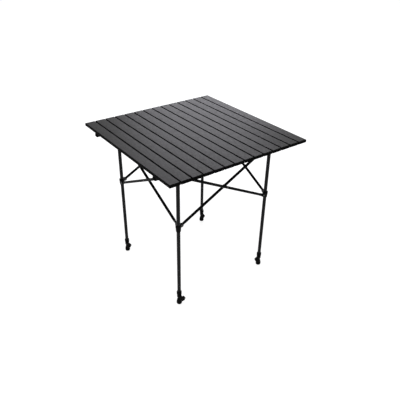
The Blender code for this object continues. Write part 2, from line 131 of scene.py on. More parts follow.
def place_camera():
    backward = Vector((math.sin(AZIMUTH) * math.cos(ELEVATION),
                       -math.cos(AZIMUTH) * math.cos(ELEVATION), math.sin(ELEVATION)))
    level = Vector((math.cos(AZIMUTH), math.sin(AZIMUTH), 0))
    upright = backward.cross(level)
    right = level * math.cos(ROLL) + upright * math.sin(ROLL)
    up = upright * math.cos(ROLL) - level * math.sin(ROLL)
    place = Vector((0, 0, AIM_HEIGHT)) + level * AIM_ASIDE + backward * DISTANCE
    lens = bpy.data.cameras.new("camera")
    lens.sensor_width = SENSOR
    lens.lens = SENSOR * FOCAL_PIXELS / IMAGE_WIDTH
    camera = new_object("camera", lens)
    camera.matrix_world = Matrix((
        (right.x, up.x, backward.x, place.x), (right.y, up.y, backward.y, place.y),
        (right.z, up.z, backward.z, place.z), (0, 0, 0, 1)))
    bpy.context.scene.camera = camera
    return camera


camera = place_camera()
print("lens %.1f mm at" % camera.data.lens, [round(value, 3) for value in camera.location])

# %% [markdown]
# ## Nodes without the clutter
# A material is a tree of nodes. Setting each socket takes a line, so one helper makes a node,
# sets its inputs and joins it to the nodes before it. A value that is the same all over a
# surface goes straight on the shader's own socket, because it then travels with an export.

# %% Node helpers
def add_node(tree, kind, inputs=(), **settings):
    """Make a node. Inputs are values, sockets to join, or nodes whose first output is joined."""
    node = tree.nodes.new(kind)
    for name, value in settings.items():
        setattr(node, name, value)
    for key, value in dict(inputs).items():
        if isinstance(value, bpy.types.Node):
            value = value.outputs[0]
        if isinstance(value, bpy.types.NodeSocket):
            tree.links.new(value, node.inputs[key])
        else:
            node.inputs[key].default_value = value
    return node


def new_material(name, colour, roughness, gloss=0.5, metallic=0.0):
    """A Principled material, its tree, its shader and the place on the object.

    Gloss is the shader's specular level."""
    material = bpy.data.materials.new(name)
    material.use_nodes = True
    shader = material.node_tree.nodes["Principled BSDF"]
    shader.inputs["Base Color"].default_value = (*colour, 1)
    shader.inputs["Roughness"].default_value = roughness
    shader.inputs["Specular IOR Level"].default_value = gloss
    shader.inputs["Metallic"].default_value = metallic
    material.diffuse_color = (*colour, 1)
    place = material.node_tree.nodes.new("ShaderNodeTexCoord").outputs["Object"]
    return material, material.node_tree, shader, place


def noise(tree, at, scale, stretch=(1, 1, 1), detail=3.0, roughness=0.55):
    """Noise in object space, stretched where the grain runs."""
    mapping = add_node(tree, "ShaderNodeMapping", {"Vector": at, "Scale": stretch})
    return add_node(tree, "ShaderNodeTexNoise", {
        "Vector": mapping, "Scale": scale, "Detail": detail,
        "Roughness": roughness}).outputs["Fac"]


def spread(tree, value, low, high, from_low=0.3, from_high=0.7):
    """Map a noise value onto a range."""
    return add_node(tree, "ShaderNodeMapRange", {
        "Value": value, "From Min": from_low, "From Max": from_high,
        "To Min": low, "To Max": high}).outputs[0]


def calculate(tree, operation, first, second=0.0):
    return add_node(tree, "ShaderNodeMath", {0: first, 1: second}, operation=operation).outputs[0]


def blend_colours(tree, factor, first, second):
    """Mix two colours by a factor."""
    first, second = ((*colour, 1) if isinstance(colour, tuple) else colour
                     for colour in (first, second))
    return add_node(tree, "ShaderNodeMix", {0: factor, 6: first, 7: second},
                    data_type="RGBA").outputs[2]


def join_finish(tree, shader, colour, height, strength, distance, roughness=None):
    """Join a colour, a bump from a height and, where it varies, a roughness to the shader."""
    tree.links.new(colour, shader.inputs["Base Color"])
    if roughness is not None:
        tree.links.new(roughness, shader.inputs["Roughness"])
    made = add_node(tree, "ShaderNodeBump", {
        "Height": height, "Strength": strength, "Distance": distance})
    tree.links.new(made.outputs[0], shader.inputs["Normal"])


# %% [markdown]
# ## The coating on the slats
# The slats are aluminium with a charcoal coating that has a fine grain along each slat, a soft
# mottle and a slightly different tone from slat to slat. An image could carry that, but noise
# stretched along Y does it at any size. The slat's number comes from its X, and picks its tone.
# Their sides and underside get a near-black painted shade, which stands for the shade in the gaps.

# %% Slat coating
def make_slat_coating():
    material, tree, shader, at = new_material("slat_coating", (0.05, 0.05, 0.053), 0.5, 0.04)
    grain = noise(tree, at, 420, stretch=(1, 0.09, 1), detail=4)
    mottle = noise(tree, at, 150, stretch=(1, 0.5, 1), detail=3, roughness=0.75)
    cloud = noise(tree, at, 5, detail=2)
    across = add_node(tree, "ShaderNodeSeparateXYZ", {0: at}).outputs["X"]
    number = calculate(tree, "FLOOR", calculate(tree, "MULTIPLY", across, 1 / SLAT_PITCH))
    pick = add_node(tree, "ShaderNodeTexWhiteNoise", {"W": number}, noise_dimensions="1D")
    dark, light = (0.010, 0.010, 0.0094), (0.034, 0.034, 0.0325)
    colour = blend_colours(tree, spread(tree, mottle, 0, 1, 0.38, 0.62), dark, light)
    grained = blend_colours(tree, spread(tree, grain, 0, 0.5), colour, (0.012, 0.012, 0.0114))
    tone = spread(tree, pick.outputs["Value"], 0.0, 0.6, 0, 1)
    toned = blend_colours(tree, tone, grained, (0.034, 0.0335, 0.033))
    final = blend_colours(tree, spread(tree, cloud, 0, 0.3), toned, (0.015, 0.015, 0.0145))
    join_finish(tree, shader, final, grain, 0.35, 0.00012, spread(tree, grain, 0.40, 0.54))
    return material


def make_slat_side_painted_shade():
    """The slats' sides and underside, painted near-black: painted shade for the gaps between slats,
    since the real slats wear one coat all round.
    """
    material, tree, shader, at = new_material("slat_base_coat", (0.003, 0.003, 0.0031), 0.6, 0.01)
    streaks = noise(tree, at, 500, stretch=(1, 0.05, 1), detail=3)
    cloud = noise(tree, at, 18)
    # Painted shade: these near-black colours stand for the shade in the gaps between and under the
    # slats, not for a real black coat.
    dark, light = (0.0015, 0.0015, 0.0016), (0.0035, 0.0035, 0.0037)
    base = blend_colours(tree, spread(tree, cloud, 0, 1), dark, light)
    final = blend_colours(tree, spread(tree, streaks, 0, 0.4), base, (0.007, 0.007, 0.0073))
    join_finish(tree, shader, final, streaks, 0.3, 0.0001, spread(tree, streaks, 0.48, 0.62))
    return material


SLAT_COATING = make_slat_coating()
SLAT_SIDE_SHADE = make_slat_side_painted_shade()
print("made", SLAT_COATING.name, "and", SLAT_SIDE_SHADE.name)

# %% [markdown]
# ## Powder coat and moulded plastic
# The tubes wear a black powder coat, which has a faint orange peel and a few rubbed places. The
# braces have a deeper, duller coat than the legs and rails, so one function makes both. The hubs,
# caps, feet and knobs are moulded: matt, finely etched, a little paler in places. Another function
# makes every moulded plastic from its own colour, roughness and gloss.

# %% Powder coat
def make_powder_coat(name, depth, gloss):
    """A black powder coat. Depth scales its colours."""
    plain = (0.010 * depth, 0.010 * depth, 0.011 * depth)
    material, tree, shader, at = new_material(name, plain, 0.4, gloss)
    peel = noise(tree, at, 900, detail=2)
    cloud = noise(tree, at, 22)
    rub = noise(tree, at, 70, stretch=(1, 1, 0.35), detail=5, roughness=0.7)
    low, high, rubbed = (tuple(depth * value for value in colour) for colour in (
        (0.004, 0.004, 0.0043), (0.009, 0.009, 0.0096), (0.022, 0.022, 0.0232)))
    base = blend_colours(tree, spread(tree, cloud, 0, 1), low, high)
    worn = blend_colours(tree, spread(tree, rub, 0, 0.7, 0.62, 0.78), base, rubbed)
    join_finish(tree, shader, worn, peel, 0.25, 0.0002, spread(tree, rub, 0.34, 0.5))
    return material


# %% Moulded plastics
def make_plastic(name, colour, roughness, etch=1500.0, gloss=0.05):
    """A moulded plastic. Etch is the scale of its pits."""
    material, tree, shader, at = new_material(name, colour, roughness, gloss)
    pits = noise(tree, at, etch, detail=2)
    cloud = noise(tree, at, 60, detail=3)
    paler = tuple(1.8 * value + 0.0005 for value in colour)
    darker = tuple(0.75 * value for value in colour)
    final = blend_colours(tree, spread(tree, cloud, 0, 1), darker, paler)
    varied = spread(tree, cloud, roughness - 0.06, roughness + 0.08)
    join_finish(tree, shader, final, pits, 0.3, 0.00015, varied)
    return material


POWDER_COAT = make_powder_coat("powder_coat", 1.0, 0.10)
BRACE_COAT = make_powder_coat("brace_powder_coat", 0.35, 0.03)
HUB_PLASTIC = make_plastic("hub_plastic", (0.0032, 0.0032, 0.0033), 0.5, gloss=0.035)
FOOT_PLASTIC = make_plastic("foot_plastic", (0.0028, 0.0028, 0.0028), 0.56, gloss=0.03)
KNOB_PLASTIC = make_plastic("knob_plastic", (0.0025, 0.0025, 0.0025), 0.46, gloss=0.03)
CAP_PLASTIC = make_plastic("cap_plastic", (0.0015, 0.0015, 0.0015), 0.6, gloss=0.015)
SOLE_RUBBER = make_plastic("sole_rubber", (0.016, 0.016, 0.0155), 0.75, etch=700.0)
print("made", POWDER_COAT.name, BRACE_COAT.name, "and five plastics")

# %% [markdown]
# ## Blackened steel and braided elastic
# The rivets and screws are steel whose blacking wears off first on the high spots, so a fine noise
# mixes a paler colour in. The elastic wears a woven sleeve. Its strands are too fine to model, so
# a wave texture, turned across the cord, gives their ribs.

# %% Steel and elastic
def make_steel():
    """Blackened steel, paler where the blacking has worn off the rivets."""
    material, tree, shader, at = new_material(
        "rivet_steel", (0.06, 0.06, 0.062), 0.36, metallic=0.85)
    wear = noise(tree, at, 320, detail=4, roughness=0.65)
    worn = spread(tree, wear, 0, 1, 0.45, 0.75)
    final = blend_colours(tree, worn, (0.03, 0.03, 0.031), (0.16, 0.16, 0.16))
    join_finish(tree, shader, final, wear, 0.15, 0.0001, spread(tree, wear, 0.28, 0.46))
    return material


def make_elastic():
    """A woven black sleeve over the elastic, with slanting ribs."""
    material, tree, shader, at = new_material("elastic_braid", (0.018, 0.018, 0.018), 0.8)
    slanting = add_node(tree, "ShaderNodeMapping", {"Vector": at, "Rotation": (0.7, 0, 0.6)})
    ribs = add_node(tree, "ShaderNodeTexWave", {
        "Vector": slanting, "Scale": 700.0}).outputs["Fac"]
    final = blend_colours(tree, ribs, (0.010, 0.010, 0.010), (0.030, 0.030, 0.030))
    join_finish(tree, shader, final, ribs, 0.5, 0.0002)
    return material


RIVET_STEEL = make_steel()
ELASTIC = make_elastic()
print("made", RIVET_STEEL.name, "and", ELASTIC.name)

# %% [markdown]
# ## Skinning rings
# Most pieces here are a row of cross-sections with a skin over them: a turned foot is a row of
# circles, a flattened tube is a circle that turns into a slot, a cap is a row of rounded
# rectangles. One function skins any such row, and small ones draw the cross-sections.

# %% Rings and skins
MERGE = 0.000002


def skin(rings, tube=False):
    """A closed shape over rings of equally many points. A tube's last ring joins its first."""
    shape = bmesh.new()
    rows = [[shape.verts.new(point) for point in ring] for ring in rings]
    pairs = list(zip(rows, rows[1:] + ([rows[0]] if tube else [])))
    for first, second in pairs:
        for at in range(len(first)):
            after = (at + 1) % len(first)
            shape.faces.new((first[at], first[after], second[after], second[at]))
    if not tube:
        shape.faces.new(rows[0][::-1])
        shape.faces.new(rows[-1])
    bmesh.ops.remove_doubles(shape, verts=shape.verts, dist=MERGE)
    bmesh.ops.recalc_face_normals(shape, faces=shape.faces)
    return shape


def angles(sides):
    """Equal angles once round a circle."""
    return [2 * math.pi * step / sides for step in range(sides)]


def turned(profile, sides=32, tube=False):
    """Turn a profile of (radius, height) about Z."""
    return skin([[(radius * math.cos(angle), radius * math.sin(angle), height)
                  for angle in angles(sides)] for radius, height in profile], tube)


def rounded(corners, steps=4, ring=False):
    """A profile whose corners (a, b, radius) are rounded. A ring's ends are rounded too."""
    points = []
    count = len(corners)
    for at, (a, b, radius) in enumerate(corners):
        here = Vector((a, b))
        ends = not ring and at in (0, count - 1)
        if radius == 0 or ends:
            points.append((a, b))
            continue
        before = Vector(corners[at - 1][:2]) - here
        after = Vector(corners[(at + 1) % count][:2]) - here
        start, end = here + before.normalized() * radius, here + after.normalized() * radius
        for step in range(steps + 1):
            share = step / steps
            point = start * (1 - share) ** 2 + here * 2 * share * (1 - share) + end * share ** 2
            points.append((point.x, point.y))
    return points


def slot_ring(half_width, half_height, at, squareness=2.0, sides=32):
    """A ring across X between a circle and a rounded slot: Y is its width, Z its height."""
    ring = []
    for angle in angles(sides):
        cosine, sine = math.cos(angle), math.sin(angle)
        y = math.copysign(abs(cosine) ** (2 / squareness), cosine) * half_width
        z = math.copysign(abs(sine) ** (2 / squareness), sine) * half_height
        ring.append((at, y, z))
    return ring


print("a ring of 32 sides turns", math.degrees(angles(32)[1]), "degrees at each")

# %% [markdown]
# ## From a shape to a piece of the table
# A piece has its place in its mesh, and its object stays at the origin. It is then hung on the
# body it moves with and given its finish, and the CAD nodes it stands for are hidden. Edges under
# 40 degrees are shaded smooth and sharper ones stay crisp. Weighted normals keep the wide flat
# faces flat right up to their rounded edges.

# %% Pieces
CREASE = math.radians(40)


def transformed(shape, matrix):
    bmesh.ops.transform(shape, matrix=matrix, verts=shape.verts)
    return shape


def as_mesh(name, shape, place=Matrix()):
    """A mesh from a shape, moved to its place. The shape is freed."""
    mesh = bpy.data.meshes.new(name)
    transformed(shape, place).to_mesh(mesh)
    shape.free()
    return mesh


def settle(name, mesh, materials, nodes, body=None):
    """Put a finished mesh in the scene, hang it on its body and hide the CAD nodes it stands for.
    """
    piece = new_object(name, mesh)
    mesh.name = name
    if materials:
        mesh.materials.clear()
        for material in materials:
            mesh.materials.append(material)
    mesh.shade_smooth()
    mesh.set_sharp_from_angle(angle=CREASE)
    even = piece.modifiers.new("even_shading", "WEIGHTED_NORMAL")
    even.keep_sharp = True
    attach(piece, body or BODY_OF[nodes[0]])
    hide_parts(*nodes)


def add_piece(node, ending, shape, place, material):
    """Settle one shape as a piece of a node, named by the node and an ending."""
    settle(node + ending, as_mesh(node, shape, place), [material], [node])


def rotation(degrees, axis):
    return Matrix.Rotation(math.radians(degrees), 4, axis)


def moved(x, y, z):
    return Matrix.Translation((x, y, z))


def leg_axis(corner, height):
    side = CORNERS[corner]["side"]
    return Vector((side[0] * LEG_SPACING / 2, side[1] * LEG_SPACING / 2, height))


def at_leg(corner, height, turn=0):
    """The place at a height on a corner's leg, turned about it by some degrees."""
    return Matrix.Translation(leg_axis(corner, height)) @ rotation(turn, "Z")


def brace_ends(side, inner):
    """The top pivot and the slide pivot of one brace, and the way from one to the other."""
    first, second, along, inwards = SIDES[side]
    from_first = CORNERS[first]["inner"] == inner
    top, bottom = (first, second) if from_first else (second, first)
    way = along if from_first else -along
    shift = inwards * (BRACE_OFFSET if inner else -BRACE_OFFSET)
    start = leg_axis(top, TOP_PIVOT) + way * PIVOT_REACH + shift
    end = leg_axis(bottom, SLIDE_PIVOT) - way * PIVOT_REACH + shift
    return start, end, way


for pivot in brace_ends("front", False)[:2]:
    print("the front outer brace has a pivot at", [round(value, 3) for value in pivot])

# %% [markdown]
# ## A geometry tree for every extrusion
# Slats, rails and legs are all extruded: one hollow profile pushed out to a length. Geometry
# Nodes say that once. Two rounded rectangles are filled as a ring, the ring is pushed out, and a
# flipped copy closes the near end. When the corner radius is half the width, the same tree makes
# a round tube. The tree ends in Set Material, because every piece needs its finish.

# %% Extrusion tree
LEAST_CORNER = 0.0002
FACING_OUT = 0.99


def start_tree(name, sizes):
    """A geometry tree with named inputs, its input node and its output node."""
    tree = bpy.data.node_groups.new(name, "GeometryNodeTree")
    for label, kind in sizes:
        tree.interface.new_socket(label, in_out="INPUT", socket_type="NodeSocket" + kind)
    tree.interface.new_socket("Mesh", in_out="OUTPUT", socket_type="NodeSocketGeometry")
    return tree, tree.nodes.new("NodeGroupInput").outputs, tree.nodes.new("NodeGroupOutput")


def rounded_rectangle(tree, width, height, corner, steps):
    """The outline of a rectangle whose corners are rounded in steps."""
    sheet = add_node(tree, "GeometryNodeCurvePrimitiveQuadrilateral", {
        "Width": width, "Height": height})
    return add_node(tree, "GeometryNodeFilletCurve", {
        "Curve": sheet, "Radius": corner, "Count": steps}, mode="POLY").outputs[0]


def join_parts(tree, *parts):
    joined = add_node(tree, "GeometryNodeJoinGeometry")
    for part in parts:
        tree.links.new(part, joined.inputs[0])
    return joined


def make_extrusion_tree():
    tree, given, out = start_tree("hollow_extrusion", [
        ("Width", "Float"), ("Height", "Float"), ("Length", "Float"), ("Corner", "Float"),
        ("Wall", "Float"), ("Steps", "Int"), ("Top Finish", "Material"),
        ("Side Finish", "Material")])
    width, height, corner, wall = (given[name] for name in ("Width", "Height", "Corner", "Wall"))
    both_walls = calculate(tree, "MULTIPLY", wall, 2.0)
    inner_corner = calculate(tree, "SUBTRACT", corner, wall)
    outer = rounded_rectangle(tree, width, height, corner, given["Steps"])
    inner = rounded_rectangle(
        tree, calculate(tree, "SUBTRACT", width, both_walls),
        calculate(tree, "SUBTRACT", height, both_walls),
        calculate(tree, "MAXIMUM", inner_corner, LEAST_CORNER), given["Steps"])
    filled = add_node(tree, "GeometryNodeFillCurve", {0: join_parts(tree, outer, inner)})
    push = add_node(tree, "ShaderNodeCombineXYZ", {"Z": given["Length"]})
    pushed = add_node(tree, "GeometryNodeExtrudeMesh", {
        "Mesh": filled, "Offset": push, "Individual": False})
    near = add_node(tree, "GeometryNodeFlipFaces", {"Mesh": filled})
    closed = join_parts(tree, pushed.outputs["Mesh"], near.outputs[0])
    merged = add_node(tree, "GeometryNodeMergeByDistance", {0: closed, "Distance": MERGE})
    real = add_node(tree, "GeometryNodeRealizeInstances", {0: merged})
    # Faces whose normal points along Y take the top finish, all others the side finish. On the
    # slats the side finish is painted shade for the gaps.
    normal = add_node(tree, "GeometryNodeInputNormal")
    up = add_node(tree, "ShaderNodeSeparateXYZ", {0: normal}).outputs["Y"]
    is_top = add_node(tree, "FunctionNodeCompare", {
        "A": up, "B": FACING_OUT}, operation="GREATER_THAN")
    sides = add_node(tree, "GeometryNodeSetMaterial", {
        "Geometry": real, "Material": given["Side Finish"]})
    top = add_node(tree, "GeometryNodeSetMaterial", {
        "Geometry": sides, "Selection": is_top, "Material": given["Top Finish"]})
    tree.links.new(top.outputs[0], out.inputs[0])
    return tree


def evaluated_mesh(holder):
    """The mesh that an object's modifiers make."""
    bpy.context.view_layer.update()
    graph = bpy.context.evaluated_depsgraph_get()
    return bpy.data.meshes.new_from_object(holder.evaluated_get(graph))


def grown(tree, name, **values):
    """The plain mesh a geometry tree makes with these inputs. Its holder is thrown away."""
    holder = new_object(name, bpy.data.meshes.new(name + "_start"))
    modifier = holder.modifiers.new(tree.name, "NODES")
    modifier.node_group = tree
    for label, value in values.items():
        socket = tree.interface.items_tree[label.replace("_", " ")]
        modifier[socket.identifier] = value
    holder.update_tag()
    mesh = evaluated_mesh(holder)
    holder.modifiers.remove(modifier)
    bpy.data.objects.remove(holder, do_unlink=True)
    mesh.name = name
    return mesh


EXTRUSION = make_extrusion_tree()


def extruded(name, width, height, length, corner, wall, steps, top, side):
    """A hollow extrusion along Z, its near end at the origin."""
    return grown(EXTRUSION, name, Width=width, Height=height, Length=length, Corner=corner,
                 Wall=wall, Steps=steps, Top_Finish=top, Side_Finish=side)


print("made the tree", EXTRUSION.name)

# %% [markdown]
# ## The slats
# Each slat is an aluminium extrusion with the charcoal coat on its top face and painted shade on
# its sides and underside. The tree pushes a profile along Z, so the mesh is turned to lie along Y
# and moved to its slat's place. All fourteen are the same extrusion, each on its own body, because
# the top rolls up slat by slat.

# %% Slat extrusions
PLUG_FLANGE = 0.0035
SLAT_WIDTH = SLAT_PITCH - SLAT_GAP
SLAT_CORNER = 0.0034
SLAT_WALL = 0.0008
SLAT_LEVEL = TABLE_HEIGHT - SLAT_THICKNESS / 2
SKIN_LENGTH = SLAT_LENGTH - 2 * PLUG_FLANGE
LIE_ALONG_Y = rotation(90, "X")


def slat_middle(number):
    return (number - (SLAT_COUNT + 1) / 2) * SLAT_PITCH


for number in range(1, SLAT_COUNT + 1):
    name = "slat_%02d" % number
    mesh = extruded(name + "_extrusion", SLAT_WIDTH, SLAT_THICKNESS, SKIN_LENGTH, SLAT_CORNER,
                    SLAT_WALL, 3, SLAT_COATING, SLAT_SIDE_SHADE)
    mesh.transform(moved(slat_middle(number), SKIN_LENGTH / 2, SLAT_LEVEL) @ LIE_ALONG_Y)
    settle(name + "_extrusion", mesh, None, [name])

# %% [markdown]
# ## Copies in a line
# Some pieces come in rows: two plugs in a slat, two cords in a gap, two rivets in a brace. This
# tree places any piece at equal steps and turns each copy on from the last. Half a turn makes
# the far plug face the other way. Realize Instances turns the copies into one real mesh.

# %% Row tree
def make_row_tree():
    tree, given, out = start_tree("row_of_copies", [
        ("Piece", "Object"), ("Count", "Int"), ("Step", "Vector"), ("Turn", "Float"),
        ("Finish", "Material")])
    line = add_node(tree, "GeometryNodeMeshLine", {
        "Count": given["Count"], "Offset": given["Step"]})
    piece = add_node(tree, "GeometryNodeObjectInfo", {"Object": given["Piece"]})
    index = add_node(tree, "GeometryNodeInputIndex").outputs[0]
    turns = calculate(tree, "MULTIPLY", index, given["Turn"])
    rotate = add_node(tree, "ShaderNodeCombineXYZ", {"Z": turns})
    copies = add_node(tree, "GeometryNodeInstanceOnPoints", {
        "Points": line, "Instance": piece.outputs["Geometry"], "Rotation": rotate})
    real = add_node(tree, "GeometryNodeRealizeInstances", {0: copies})
    finish = add_node(tree, "GeometryNodeSetMaterial", {
        "Geometry": real, "Material": given["Finish"]})
    tree.links.new(finish.outputs[0], out.inputs[0])
    return tree


ROW = make_row_tree()


def row_of(name, shape, count, step, finish, turn=0.0):
    """A mesh of copies of one shape, which starts at the origin."""
    master = new_object(name + "_master", as_mesh(name + "_master", shape))
    mesh = grown(ROW, name, Piece=master, Count=count, Step=step, Turn=turn, Finish=finish)
    bpy.data.objects.remove(master, do_unlink=True)
    return mesh


print("made the tree", ROW.name)

# %% [markdown]
# ## The slats' end plugs
# A black plug closes each end of a slat. It has a tongue inside the extrusion and a flange over
# the cut edge, softly rounded, which is the thin black border of the table's two short sides. The
# plug is skinned over rounded rectangles from the tongue's end to the flange's face.

# %% End plugs
PLUG_INSET = 0.0011


def rectangle_ring(half_width, half_height, corner, at, steps=4):
    """A ring of a rounded rectangle across Y, its width along X."""
    ring = []
    for turn, (x, z) in enumerate(((1, 1), (-1, 1), (-1, -1), (1, -1))):
        for step in range(steps + 1):
            angle = math.pi / 2 * (turn + step / steps)
            ring.append((x * (half_width - corner) + corner * math.cos(angle), at,
                         z * (half_height - corner) + corner * math.sin(angle)))
    return ring


def make_cap(width, height, rows):
    """A cap from rows of how far a ring lies inside X and Z, its corner and its place on Y."""
    return skin([rectangle_ring(width / 2 - in_x, height / 2 - in_z, corner, at)
                 for in_x, in_z, corner, at in rows])


def make_plug():
    """A plug for the end at low Y: its face at Y 0, its tongue towards high Y."""
    cut = PLUG_FLANGE - 0.0001
    return make_cap(SLAT_WIDTH, SLAT_THICKNESS, (
        (PLUG_INSET + 0.0012, PLUG_INSET + 0.0008, 0.0008, 0.024),
        (PLUG_INSET, PLUG_INSET, 0.0008, 0.022), (PLUG_INSET, PLUG_INSET, 0.0008, cut),
        (0, 0, 0.0026, cut), (0, 0, 0.0030, 0.0014), (0.0003, 0.0003, 0.0030, 0.0005),
        (0.0012, 0.0012, 0.0024, 0), (0.0035, 0.0035, 0.0012, 0.0001)))


for number in range(1, SLAT_COUNT + 1):
    name = "slat_%02d" % number
    mesh = row_of(name + "_plugs", make_plug(), 2, (0, SLAT_LENGTH, 0), CAP_PLASTIC, math.pi)
    mesh.transform(moved(slat_middle(number), -SLAT_LENGTH / 2, SLAT_LEVEL))
    settle(name + "_plugs", mesh, None, [name])

# %% [markdown]
# ## The elastic between the slats
# Two elastic cords run through all the slats and hold them edge to edge. Only the short pieces in
# the gaps can be seen, and they bend when the top is rolled up. So each gap gets its own pair,
# ringed closely enough to bend.

# %% Elastic links
CORD_SPACING = 0.420
CORD_RADIUS = 0.0018
LINK_REACH = 0.008
HALF_RINGS = 12


def make_link():
    """A short cord along X, its middle at the origin."""
    return skin([slot_ring(CORD_RADIUS, CORD_RADIUS, LINK_REACH * (step / HALF_RINGS - 1), sides=12)
                 for step in range(2 * HALF_RINGS + 1)])


for number in range(1, SLAT_COUNT):
    name = "elastic_link_%02d" % number
    gap = slat_middle(number) + SLAT_PITCH / 2
    mesh = row_of(name, make_link(), 2, (0, CORD_SPACING, 0), ELASTIC)
    mesh.transform(moved(gap, -CORD_SPACING / 2, SLAT_LEVEL))
    first, second = "slat_%02d" % number, "slat_%02d" % (number + 1)
    link = new_object(name, mesh)
    mesh.shade_smooth()
    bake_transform(link)
    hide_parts("elastic_cord_front", "elastic_cord_back")
print(SLAT_COUNT - 1, "pairs of elastic links")

# %% [markdown]
# ## The rails and their caps
# Two rectangular tubes carry the slats. The extrusion tree makes them as well, with the same
# finish all round, turned to lie along X. Their caps are skinned like the slats' plugs, a little
# prouder, since their rounded ends show under the table's edge.

# %% Rails
RAIL_CAP = 0.004
RAIL_CORNER = 0.0016
CAP_INSET = 0.0013
TUBE_WALL = 0.0010
TOP_HALF_WIDTH = (SLAT_COUNT * SLAT_PITCH - SLAT_GAP) / 2
RAIL_MIDDLE = HUB_TOP + TOUCH + RAIL_DEPTH / 2


def make_rail_cap():
    """A cap for the rail's end at low Y, its face at Y 0."""
    cut, tip = RAIL_CAP - TOUCH, CAP_INSET + 0.0010
    return make_cap(RAIL_WIDTH, RAIL_DEPTH, (
        (tip, tip, 0.0008, 0.018), (CAP_INSET, CAP_INSET, 0.0008, 0.0165),
        (CAP_INSET, CAP_INSET, 0.0008, cut), (0, 0, 0.0015, cut), (0, 0, 0.0022, 0.0020),
        (0.0006, 0.0006, 0.0026, 0.0008), (0.0020, 0.0020, 0.0022, 0),
        (0.0050, 0.0050, 0.0010, 0)))


for side, sign in (("front", -1), ("back", 1)):
    length = 2 * (TOP_HALF_WIDTH - RAIL_CAP)
    y = sign * LEG_SPACING / 2
    mesh = extruded("rail_" + side + "_tube", RAIL_WIDTH, RAIL_DEPTH, length, RAIL_CORNER,
                    TUBE_WALL, 4, POWDER_COAT, POWDER_COAT)
    mesh.transform(moved(-length / 2, y, RAIL_MIDDLE) @ rotation(90, "Z") @ LIE_ALONG_Y)
    settle("rail_" + side + "_tube", mesh, None, ["rail_" + side])
    for end, at, turn in (("left", -TOP_HALF_WIDTH, -90), ("right", TOP_HALF_WIDTH, 90)):
        place = moved(at, y, RAIL_MIDDLE) @ rotation(turn, "Z")
        add_piece("rail_cap_%s_%s" % (side, end), "_moulding", make_rail_cap(), place,
                  CAP_PLASTIC)

# %% [markdown]
# ## The legs
# A leg is a round steel tube. The extrusion tree gives it when the corner radius is half the
# width. Its ends are hidden in the hub above and the collar below.

# %% Leg tubes
LEG_RADIUS = 0.008
COLLAR_BOTTOM = 0.041
ROOF = 0.009
LEG_TOP = HUB_TOP - ROOF

for corner in CORNERS:
    mesh = extruded("leg_" + corner, 2 * LEG_RADIUS, 2 * LEG_RADIUS, LEG_TOP - COLLAR_BOTTOM,
                    LEG_RADIUS - 0.00001, TUBE_WALL, 12, POWDER_COAT, POWDER_COAT)
    mesh.transform(at_leg(corner, COLLAR_BOTTOM))
    node = "leg_tube_" + corner
    settle(node + "_steel", mesh, None, [node])

# %% [markdown]
# ## The scissor braces
# A brace is a tube whose ends are pressed flat and rounded, with an eye for its rivet. Bending a
# mesh flat is hard to control, so it is skinned over rings that start as thin wide slots, round
# the eye's end, and swell into circles where the tube begins.

# %% Braces
BRACE_RADIUS = 0.006
EYE_RADIUS = 0.0071
TONGUE_HALF = 0.0016
TIP_ROUNDING = 0.0012
NARROWING_START = 0.004
FLAT_END = 0.0098
SWELL_END = 0.030


def ease(share):
    """A smooth step from 0 to 1."""
    share = min(1.0, max(0.0, share))
    return share * share * (3 - 2 * share)


def brace_ring(at):
    """The cross-section of a brace at a distance along it, which is the same from both ends."""
    near = min(at, BRACE_LENGTH - at)
    if near < 0:
        width = math.sqrt(max(EYE_RADIUS ** 2 - near ** 2, 0))
        tip = min(1.0, (near + EYE_RADIUS) / TIP_ROUNDING)
        thin = TONGUE_HALF * (0.55 + 0.45 * tip ** 0.5)
    else:
        narrowed = ease((near - NARROWING_START) / (SWELL_END - NARROWING_START))
        width = EYE_RADIUS + (BRACE_RADIUS - EYE_RADIUS) * narrowed
        thin = TONGUE_HALF
    swell = ease((near - FLAT_END) / (SWELL_END - FLAT_END))
    thickness = thin + (BRACE_RADIUS - TONGUE_HALF) * swell
    return slot_ring(thickness, width, at, squareness=2 + 4 * (1 - swell))


def make_brace():
    """A brace along X from its top pivot at the origin."""
    near = [-EYE_RADIUS * math.cos(math.pi / 2 * step / 8) for step in range(8)]
    near[0] = -EYE_RADIUS * 0.9985
    near += [0, 0.003, 0.006, FLAT_END]
    near += [FLAT_END + (SWELL_END - FLAT_END) * step / 12 for step in range(1, 13)]
    stations = near + [BRACE_LENGTH - at for at in reversed(near)]
    return skin([brace_ring(at) for at in stations])


# %% [markdown]
# ## Rivets
# A rivet is turned: a domed head, a shank, and a domed head. Each brace carries one in each eye,
# and the row tree copies it to the far end. The crossing of a pair of braces has a longer one
# with a plastic washer between them.

# %% Rivets and braces
RIVET_RADIUS = 0.0024
RIVET_HEAD = 0.0044
RIVET_RISE = 0.0014
FORK_WIDTH = 0.010
WASHER_RADIUS = 0.0062
WASHER_HALF = 0.0019


def make_rivet(grip):
    """A rivet along Y with its middle at the origin."""
    half = grip / 2 + TOUCH
    top = [(0, half + RIVET_RISE)]
    for step in range(1, 7):
        angle = math.pi / 2 * step / 6
        top.append((RIVET_HEAD * math.sin(angle), half + RIVET_RISE * math.cos(angle) ** 1.3))
    top.append((RIVET_RADIUS, half))
    profile = top + [(radius, -height) for radius, height in reversed(top)]
    return transformed(turned(profile, 24), LIE_ALONG_Y)


def make_washer():
    """The plastic washer between two crossing braces, along Y."""
    hole = RIVET_RADIUS + 0.0001
    profile = rounded([(hole, WASHER_HALF, 0.0002), (WASHER_RADIUS, WASHER_HALF, 0.0006),
                       (WASHER_RADIUS, -WASHER_HALF, 0.0006), (hole, -WASHER_HALF, 0.0002)],
                      3, ring=True)
    return transformed(turned(profile, 28, tube=True), LIE_ALONG_Y)


